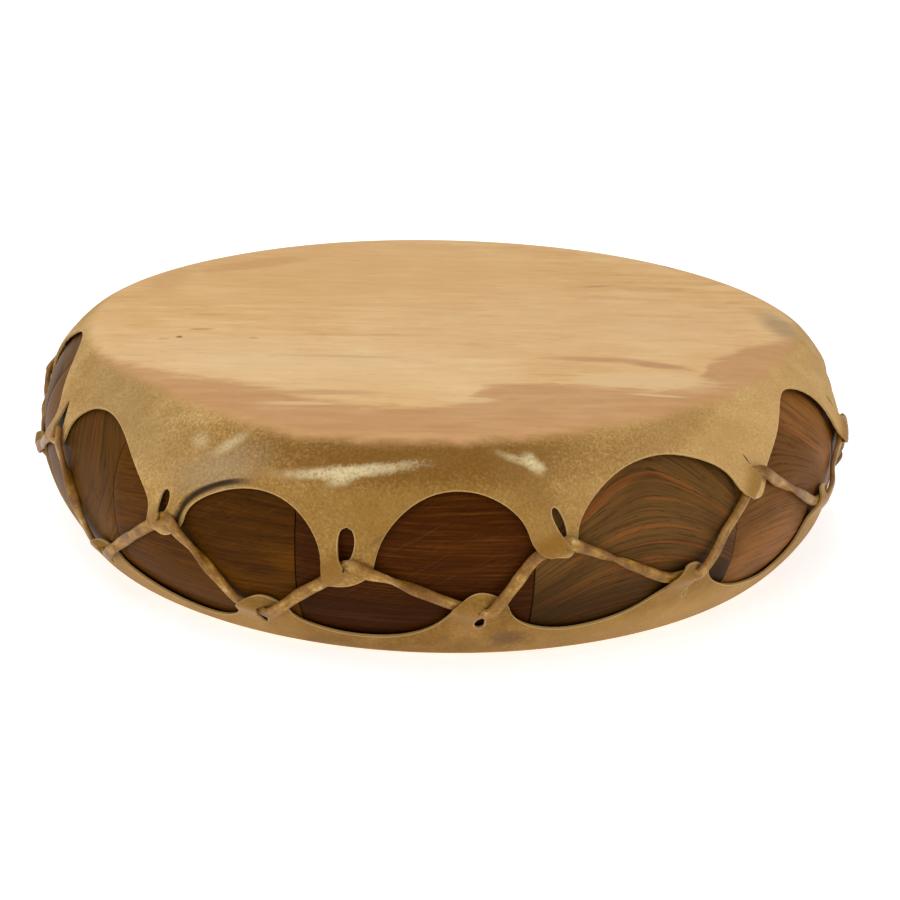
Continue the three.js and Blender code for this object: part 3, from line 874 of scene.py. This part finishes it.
def buildStave(index):
    bpy.ops.object.select_all(action="DESELECT")
    bpy.ops.mesh.primitive_cube_add(size=2)
    piece = bpy.context.object
    piece.name = piece.data.name = "wood_stave_%02d" % (index + 1)
    bpy.ops.object.mode_set(mode="EDIT")
    bpy.ops.mesh.select_all(action="SELECT")
    bpy.ops.mesh.subdivide(number_cuts=stave["cuts"])
    bpy.ops.object.mode_set(mode="OBJECT")
    spots = pointPlaces(piece).astype(float)
    start = drum["firstJoint"] + index * stavePitch
    mitre = math.degrees(drum["gap"] / 2 / drum["inside"])
    angle = start + mitre + (stavePitch - 2 * mitre) * (spots[:, 0] + 1) / 2
    # the corner columns stay inside the stave's own stretch of rim
    outside = hideRadius(angle, spots[:, 2] * halfHeight) - stave["underHide"]
    inside = drum["inside"] / np.cos(np.radians(angle - start - stavePitch / 2))
    h = spots[:, 2] * (halfHeight - stave["underHide"])
    radius = inside + (outside - inside) * (spots[:, 1] + 1) / 2
    movePoints(piece, polar(angle, radius, h))
    # the board's own directions: along the chord, up, and out, seen from the tree's middle
    fromMiddle = np.radians(angle - start - stavePitch / 2)
    turn = math.radians(stave["turn"][index])
    chord, out = radius * np.sin(fromMiddle), radius * np.cos(fromMiddle) - drum["inside"]
    along = chord * math.cos(turn) + h * math.sin(turn)
    bow = stave["arch"][index] * (chord / stave["archSpan"]) ** 2
    up = h * math.cos(turn) - chord * math.sin(turn) + bow - stave["pithBelow"][index]
    along = along + stave["apart"] * index
    grain = np.stack([along, up, out + stave["pithBehind"][index]], -1) * mm
    attribute = piece.data.attributes.new("grain", "FLOAT_VECTOR", "POINT")
    attribute.data.foreach_set("vector", grain.astype(np.float32).ravel())
    setPointValues(piece, "board", np.full(len(spots), (index + 0.5) / staveCount))
    closeMesh(piece)
    applyModifier(piece, "BEVEL", width=stave["edgeBevel"] * mm, segments=2, limit_method="ANGLE",
                  angle_limit=math.radians(50))
    return piece


# Walnut: sawn, sanded by hand and oiled. Dark brown with fine lines along the grain, reddish streaks
# along its growth rings, small dark pores and a satin sheen
walnutLook = {
    # one tone for each stave, from stave_01 on
    "boards": [0x563103, 0x441F02, 0x664722, 0x8A5A2B, 0x5F3A12, 0x532C09, 0x6A4318, 0x57310B, 0x4C2506,
               0x653E15, 0x5A350F, 0x604015, 0x6A4518],
    # how strong each stave's red streaks are
    "redness": [0.25, 0.30, 0.80, 0.75, 0.4, 0.3, 0.5, 0.3, 0.5, 0.35, 0.4, 0.45, 0.5],
    # how much painted shade darkens the first staves and then all the others near the foot
    "foot": [0x606060, 0xD0D0D0, 0xFFFFFF, 0x606060],
    # patterns that follow the rings: millimetres along the grain and across it, detail, roughness, shift
    "line": (26, 0.6, 3, 0.6, 0.0),
    "ring": (85, 1.9, 2, 0.5, 17),
    "shade": (60, 16, 2, 0.5, 53),
    "pore": (3.6, 0.6, 1, 0.5, 31),
    "boardShift": 91.0,  # how far the patterns shift over all the boards
    "wander": 4.0,  # how far the fibres wander, and over what
    "wanderSize": (70, 40, 40),
    "scratchSize": (14, 0.7, 12),  # marks left by the sanding block, across the grain
    "scratchTurn": -34,
    "fray": (0.24, 0.22),  # how the red streaks follow the fine lines and fade in and out
    "roughness": (0, 1, 0.36, 0.56),
    # stains, and in the last row painted shade near the foot: pattern, where it begins and where it is full,
    # how, colour, strength
    "stains": [
        ("line", 0.52, 0.34, "LINEAR", 0x261003, 0.5),
        ("line", 0.54, 0.72, "LINEAR", 0x7C4C14, 0.3),
        ("streak", 0.80, 0.88, "SMOOTHSTEP", 0x9A5224, 0.62),
        ("shade", 0.52, 0.34, "SMOOTHSTEP", 0x241002, 0.4),
        ("pore", 0.64, 0.72, "LINEAR", 0x1D0E05, 0.35),
        ("scratch", 0.60, 0.72, "LINEAR", 0x94713F, 0.07),
        # painted shade near the foot, strongest on the front staves
        ("height", 50 * mm, 26 * mm, "SMOOTHSTEP", 0x120600, 0.7),
    ],
}


def makeWalnut():
    material, add, setShader = newMaterial("walnut")
    look = walnutLook
    board = add("Attribute", attribute_name="board").outputs["Fac"]
    grain = add("Attribute", attribute_name="grain").outputs["Vector"]
    grain = add("VectorMath", {"Vector": grain, "Scale": 1 / mm}, operation="SCALE")
    split = add("SeparateXYZ", [grain])
    outward = add("CombineXYZ", [0.0, split.outputs["Y"], split.outputs["Z"]])
    ring = add("VectorMath", [outward], operation="LENGTH").outputs["Value"]
    wander = pattern(add, grain, look["wanderSize"])
    ring = add("Math", [wander, look["wander"], ring], operation="MULTIPLY_ADD")

    def grainPattern(long, wide, detail, roughness, shift):
        far = add("Math", [split.outputs["X"], long], operation="DIVIDE")
        near = add("Math", [ring, wide], operation="DIVIDE")
        seed = add("Math", [board, look["boardShift"], shift], operation="MULTIPLY_ADD")
        return add("TexNoise", {"Vector": add("CombineXYZ", [far, near, seed]), "Scale": 1,
                                "Detail": detail, "Roughness": roughness})

    values = {key: grainPattern(*look[key]) for key in ("line", "ring", "shade", "pore")}
    values["streak"] = weighed(add, (values["line"], values["shade"]), look["fray"], values["ring"])
    turned = add("Mapping", {"Vector": grain, "Rotation": (0, 0, math.radians(look["scratchTurn"]))})
    values["scratch"] = pattern(add, turned, look["scratchSize"])
    values["height"] = add("SeparateXYZ", [add("TexCoord").outputs["Object"]]).outputs["Z"]
    redness = [int(round(share * 255)) * 0x10101 for share in look["redness"]]
    base, red, foot = (
        add("ValToRGB", [board], [(k / staveCount, shade) for k, shade in enumerate(shades)])
        for shades in (look["boards"], redness, look["foot"]))
    for ramp in (base, red, foot):
        ramp.color_ramp.interpolation = "CONSTANT"
    amounts, masks = {"streak": red, "height": foot}, {}
    for key, begin, full, kind, shade, strength in look["stains"]:
        mask = masks[key] = add("MapRange", [values[key], begin, full], interpolation_type=kind)
        if key in amounts:
            mask = add("Math", [mask, amounts[key]], operation="MULTIPLY")
        base = stainOrShade(add, base, shade, mask, strength)
    sheen = add("MapRange", [values["line"], *look["roughness"]])
    height = add("Math", [values["line"], masks["pore"]], operation="SUBTRACT")
    bump = add("Bump", {"Strength": 0.5, "Distance": 0.12 * mm, "Height": height})
    setShader({"Base Color": base, "Roughness": sheen, "Normal": bump, "IOR": 1.5,
               "Specular IOR Level": 0.03})
    return material


walnut = makeWalnut()
for index in range(staveCount):
    finishPiece(buildStave(index), walnut, "stave_%02d" % (index + 1))
print("staves ready")


# The thong: one long strip of rawhide that goes under the lip of each tab, out through its slit and
# on to the other head. It was soft and wet when it was laced, and it twisted where it runs down
thong = {
    "halfWidth": 2.35,
    "halfThickness": 1.6,
    "flatHalfWidth": 2.6,
    "flatHalfThickness": 1.35,
    "fold": 0.2,  # how deep the groove along its middle is
    "onWood": 1.9,  # its middle line above the wood
    "underLip": 2.5,
    "overHide": 4.0,
    "beforeEdge": 0.4,  # degrees before and after a tab's side where it steps down to the wood
    "pastEdge": 1.8,
    "slitIn": 0.5,  # it comes out this far inside the slit's near end
    "slitPast": 0.15,  # degrees past the slit's middle, and where it lies on the hide again
    "outPast": 1.1,
    "step": 1.15,
    "sides": 16,
    "foldWidth": 0.38,
    "curveSteps": 24,
    "wobbles": [(0.10, 21, 9), (0.06, 22, 4)],  # how wide it varies, seed, and size in millimetres
    "twistOver": (0.08, 0.88),  # the stretch of a run that twists
    "flatEnds": (5, 1.6),  # a twisting run is flat only near its ends
    # turns between each tab of the upper head and the lower head's next
    "twists": [0.5, 0.5, 0.5, 0.5, 0.5, 1, 1, 1, 1, 0.5, 1, 1, 1, 1],
    "knot": {
        "angle": 86.6,
        "lift": 1.6,
        "wide": 4.4,
        "high": 3.2,
        "turns": [(-2.3, 0.30), (2.2, -0.25)],  # along the run in millimetres, and how far it leans
        "turnSize": (2.3, 1.5),  # half width and half thickness
        "turnSteps": 40,
        "tails": [(-3.2, -9.5, 0.5), (1.3, -17.0, -0.9)],  # degrees aside, how far down, twist
        "tailSize": (2.4, 1.3),
        "tailSteps": 22,
        "tailLift": 1.6,  # more than the knot's own where a tail leaves it
        "tailRests": 0.4,  # and above the running thong's line further down
        "taper": 0.35,
    },
}


def hideNormal(angle, h):
    reach = 0.5
    slope = (hideRadius(angle, h + reach) - hideRadius(angle, h - reach)) / (2 * reach)
    normal = polar(angle, 1.0, -slope - halfHeight) / mm
    return normal / np.linalg.norm(normal, axis=-1, keepdims=True)


def offWood(angle, h, height):
    angle, h = np.asarray(angle, float), np.asarray(h, float)
    radius = hideRadius(angle, h) - stave["underHide"]
    return polar(angle, radius, h) + hideNormal(angle, h) * np.asarray(height)[..., None] * mm


def closedCurve(points):  # a smooth closed line through the points
    count, line = len(points), []
    s = np.linspace(0, 1, thong["curveSteps"], endpoint=False)[:, None]
    for i in range(count):
        a, b, c, d = (points[(i + k) % count] for k in (-1, 0, 1, 2))
        gapA, gapB, gapC = (max(np.linalg.norm(q - p), 1e-6) ** 0.5 for p, q in ((a, b), (b, c), (c, d)))
        leave = ((b - a) / gapA - (c - a) / (gapA + gapB) + (c - b) / gapB) * gapB
        arrive = ((c - b) / gapB - (d - b) / (gapB + gapC) + (d - c) / gapC) * gapB
        line.append((2 * s**3 - 3 * s**2 + 1) * b + (s**3 - 2 * s**2 + s) * leave
                    + (3 * s**2 - 2 * s**3) * c + (s**3 - s**2) * arrive)
    return np.concatenate(line)


def thongRoute():
    # at each tab the thong goes under the lip, along it to the slit's near end, and out over the hide
    stops = []
    for head in (topHead, bottomHead):
        twists = thong["twists"] if head is topHead else [0] * len(head["tabs"])
        past, up = head["thongUnder"]
        for tab, twist in zip(head["tabs"], twists):
            angle, (slitPast, slitUp, halfTall) = tab["angle"], tab["slit"][:3]
            underH = tab["lip"] + head["side"] * up
            slitH = tab["lip"] + head["side"] * (slitUp - halfTall + thong["slitIn"])
            slitAngle, outAngle = angle + slitPast + thong["slitPast"], angle + slitPast + thong["outPast"]
            right = angle + tab["wide"][1]
            stops.append((angle, right, angle + past, underH, slitAngle, slitH, outAngle, twist))
    stops.sort()
    points, runs = [], []
    onWood, underLip, overHide = thong["onWood"], thong["underLip"], thong["overHide"]
    for i, (_, right, underAngle, underH, slitAngle, slitH, outAngle, twist) in enumerate(stops):
        goalAngle, goalH = stops[(i + 1) % len(stops)][2:4]
        goalAngle += 360 if i == len(stops) - 1 else 0
        leave, land = right - thong["beforeEdge"], right + thong["pastEdge"]

        def onTheWay(place, height):
            share = (place - outAngle) / (goalAngle - outAngle)
            return offWood(place, slitH + (goalH - slitH) * share, height)

        points += [
            offWood(underAngle, underH, underLip),
            offWood(underAngle * 0.4 + slitAngle * 0.6, underH * 0.4 + slitH * 0.6, underLip),
            offWood(slitAngle, slitH, (underLip + overHide) / 2),
            offWood(outAngle, slitH, overHide),
            onTheWay(max(leave, outAngle + 0.6), overHide),
            onTheWay(land, onWood),
            onTheWay((land + goalAngle) / 2, onWood),
        ]
        runs.append((outAngle, goalAngle, twist))
    return np.array(points), runs


def lineFrames(centres, normals, closed):
    after, before = np.roll(centres, -1, 0), np.roll(centres, 1, 0)
    if not closed:
        after[-1], before[0] = centres[-1], centres[0]
    run = after - before
    run /= np.linalg.norm(run, axis=1, keepdims=True)
    across = np.cross(run, normals)
    across /= np.linalg.norm(across, axis=1, keepdims=True)
    return across, np.cross(across, run)


def twistNormals(centres, normals, twist, closed=True):
    across, up = lineFrames(centres, normals, closed)
    return up * np.cos(twist)[:, None] + across * np.sin(twist)[:, None]


def sweepTube(name, centres, normals, halfWidths, halfThicknesses, closed=True):
    # a tube round a line; its section is a flattened round with a groove along its middle
    across, up = lineFrames(centres, normals, closed)
    turn = np.linspace(0, 2 * math.pi, thong["sides"] + 1)
    wide = np.cos(turn)[None, :] * halfWidths[:, None]
    grooved = 1 - thong["fold"] * np.exp(-(np.cos(turn) / thong["foldWidth"]) ** 2)
    tall = (np.sin(turn) * grooved)[None, :] * halfThicknesses[:, None]
    skin = centres[:, None] + (wide[..., None] * across[:, None] + tall[..., None] * up[:, None]) * mm
    if closed:
        skin = np.concatenate([skin, skin[:1]])
    else:
        ends = [np.repeat(centres[k][None, None], skin.shape[1], 1) for k in (0, -1)]
        skin = np.concatenate([ends[0], skin, ends[1]])
    piece = wrapGrid(name, skin.shape[1], skin.shape[0], skin)
    setPointValues(piece, "ridge", np.abs(np.cos(turn))[None].repeat(skin.shape[0], 0))
    closeMesh(piece)
    return piece


def buildThong():
    points, runs = thongRoute()
    line = closedCurve(points)
    lengths = np.linalg.norm(np.roll(line, -1, 0) - line, axis=1)
    total = lengths.sum()
    print("thong runs", round(total, 3), "metres round the drum")
    count = int(round(total / mm / thong["step"]))
    along = np.concatenate([[0], np.cumsum(lengths)])
    looped = np.concatenate([line, line[:1]])
    wanted = np.linspace(0, total, count, endpoint=False)
    centres = np.stack([np.interp(wanted, along, looped[:, k]) for k in range(3)], -1)
    angle = np.degrees(np.arctan2(centres[:, 1], centres[:, 0]))
    h = centres[:, 2] / mm - halfHeight
    normals = hideNormal(angle, h)
    # each run's twist is carried on to the next; together they make whole turns
    twist, flat = np.zeros(count), np.ones(count)
    begin = math.degrees(math.atan2(points[0][1], points[0][0]))
    passed = np.mod(angle - begin, 360)
    passed = np.where(np.arange(count) < count // 2, np.where(passed > 350, 0, passed), passed)
    steep, less = thong["flatEnds"]
    for start, end, turns in runs:
        share = (passed - (start - begin)) / (end - start)
        twist += smooth(share, *thong["twistOver"]) * turns * 2 * math.pi
        if turns:
            within = (share > 0) & (share < 1)
            flat = np.where(within, np.clip(np.abs(share - 0.5) * steep - less, 0, 1), flat)
    wobble = 1
    for amount, seed, size in thong["wobbles"]:
        wobble = wobble + amount * waves(centres, seed, size)
    wide = (thong["halfWidth"] + (thong["flatHalfWidth"] - thong["halfWidth"]) * flat) * wobble
    thick = thong["halfThickness"] + (thong["flatHalfThickness"] - thong["halfThickness"]) * flat
    normals = twistNormals(centres, normals, twist)
    return sweepTube("laced_thong", centres, normals, wide, thick * (2 - wobble)), centres


# Rawhide thong: a strip cut from the same skin and drawn tight while wet. Golden and a little
# translucent, with a low gloss; its edges are darker, partly their own soaked tone and partly painted shade
thongLook = {
    "tones": [(0.32, 0x633B06), (0.46, 0x835816), (0.58, 0xA3782E), (0.72, 0xD4B27A)],
    "mottle": 7,
    "grain": 1.2,
    "grainShare": 0.25,
    # stains and painted shade: where it begins and where it is full, colour, strength
    # its edges: partly their own darker tone, partly painted shade where the round section turns away
    "edge": (0.8, 1.2, 0x6A4210, 0.55),
    # painted shade in the groove along its middle
    "fold": (0.30, 0.02, 0x6F4A20, 0.2),
}


def makeThongHide():
    material, add, setShader = newMaterial("rawhideThong")
    look = thongLook
    place = add("TexCoord").outputs["Object"]
    place = add("VectorMath", {"Vector": place, "Scale": 1 / mm}, operation="SCALE")
    mottle, grain = (pattern(add, place, size, 3) for size in (look["mottle"], look["grain"]))
    mixed = add("Mix", [look["grainShare"], mottle, grain], data_type="FLOAT")
    base = add("ValToRGB", [mixed], look["tones"])
    ridge = add("Attribute", attribute_name="ridge").outputs["Fac"]
    uneven = add("Math", [mottle, 0.5, ridge], operation="MULTIPLY_ADD")
    # the darker edges and the darkened groove, partly or wholly painted shade
    for value, (begin, full, shade, strength) in ((uneven, look["edge"]), (ridge, look["fold"])):
        mask = add("MapRange", [value, begin, full], interpolation_type="SMOOTHSTEP")
        base = stainOrShade(add, base, shade, mask, strength)
    bump = add("Bump", {"Strength": 0.6, "Distance": 0.1 * mm, "Height": grain})
    setShader({"Base Color": base, "Roughness": 0.42, "Normal": bump, "IOR": 1.5,
               "Specular IOR Level": 0.3})
    return material


def buildKnot(centres):
    # two turns round the running thong and the two ends, which hang down
    knot, parts = thong["knot"], []
    goal = polar(knot["angle"], float(drum["radius"]), 0.0)
    at = int(np.argmin(np.linalg.norm(centres - goal, axis=1)))
    middle = centres[at]
    angle = math.degrees(math.atan2(middle[1], middle[0]))
    h = middle[2] / mm - halfHeight
    out = hideNormal(angle, h)
    run = centres[(at + 3) % len(centres)] - centres[at - 3]
    run = run / np.linalg.norm(run)
    aside = np.cross(run, out)
    turn = np.linspace(0, 2 * math.pi, knot["turnSteps"], endpoint=False)[:, None]
    halfWidth, halfThickness = (np.full(len(turn), size) for size in knot["turnSize"])
    for number, (shift, lean) in enumerate(knot["turns"]):
        centre = middle + (run * shift + out * knot["lift"]) * mm
        tilted = aside * math.cos(lean) + run * math.sin(lean)
        ring = centre + (np.cos(turn) * tilted * knot["wide"] + np.sin(turn) * out * knot["high"]) * mm
        normals = ring - centre
        normals /= np.linalg.norm(normals, axis=1, keepdims=True)
        parts.append(sweepTube("knot_turn_%d" % number, ring, normals, halfWidth, halfThickness))
    share = np.linspace(0, 1, knot["tailSteps"])
    leaves, rests = knot["lift"] + knot["tailLift"], thong["onWood"] + knot["tailRests"]
    halfWidth, halfThickness = (size * (1 - knot["taper"] * share) for size in knot["tailSize"])
    for number, (degreesAside, down, twist) in enumerate(knot["tails"]):
        away, drop = angle + degreesAside * share, h + down * share ** 1.1
        line = offWood(away, drop, leaves + (rests - leaves) * smooth(share, 0, 0.6))
        normals = twistNormals(line, hideNormal(away, drop), twist * share, False)
        parts.append(sweepTube("knot_tail_%d" % number, line, normals, halfWidth, halfThickness, False))
    return parts


lacing, centres = buildThong()
selectOnly(lacing, *buildKnot(centres))
bpy.ops.object.join()
finishPiece(lacing, makeThongHide(), "lacing_thong", 60)
print("thong ready")
